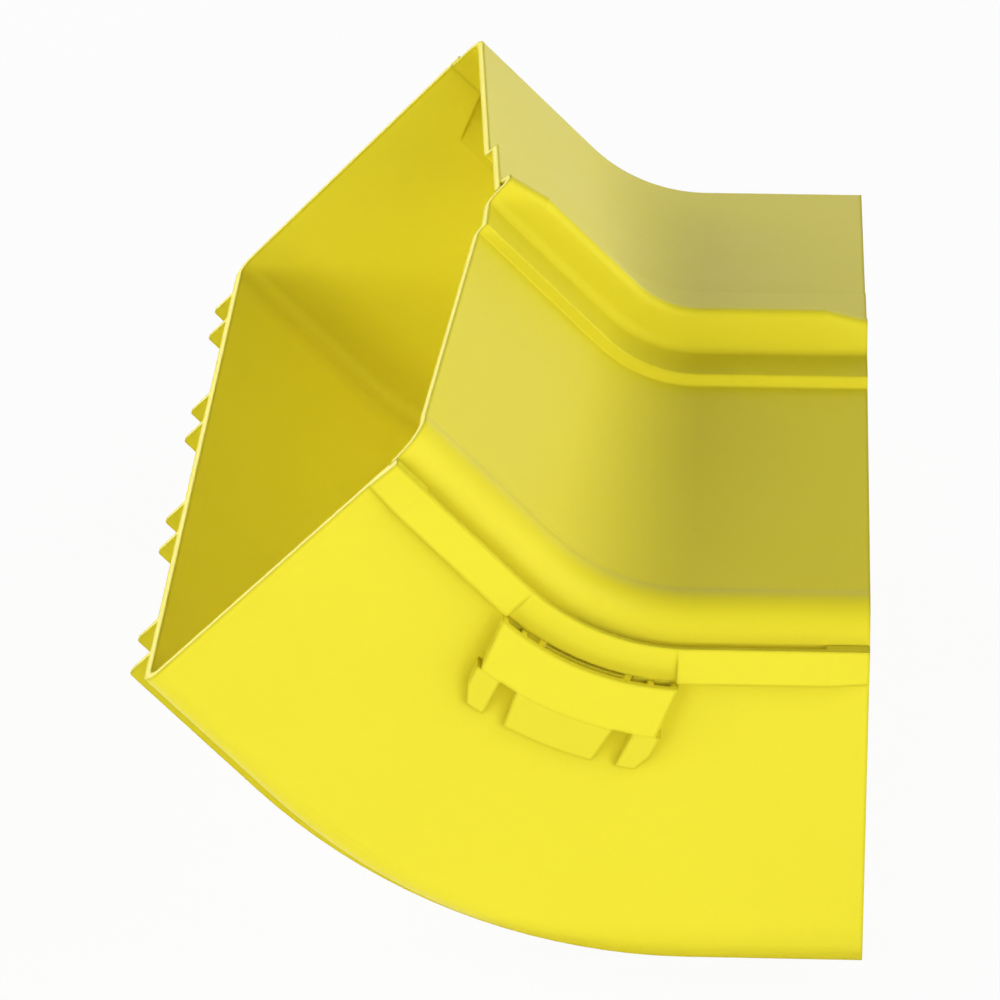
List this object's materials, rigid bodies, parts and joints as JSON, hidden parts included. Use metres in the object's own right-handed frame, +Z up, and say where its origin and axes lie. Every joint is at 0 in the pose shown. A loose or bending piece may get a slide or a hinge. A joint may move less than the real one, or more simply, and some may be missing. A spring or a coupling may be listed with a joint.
{
  "type": "fibre raceway fitting",
  "caption": "Wide open-ended fibre raceway fitting that turns upwards by an eighth of a circle, with a lapped cover in two halves that snap onto its side walls.",
  "frame": {"origin": "middle of the right end's opening, level with the floor's underside", "axes": "+X out of the right end along the right leg, +Y across the duct towards the rear wall, +Z up from the floor to the cover; the left leg climbs towards -X and +Z"},
  "size_m": [0.195, 0.3226, 0.1768],
  "materials": {
    "channel_plastic": "moulded, satin gloss",
    "cover_plastic": "moulded, satin gloss"
  },
  "bodies": {
    "root": {"channel": "channel_plastic", "front_cover": "cover_plastic", "rear_cover": "cover_plastic"}
  },
  "joints": []
}
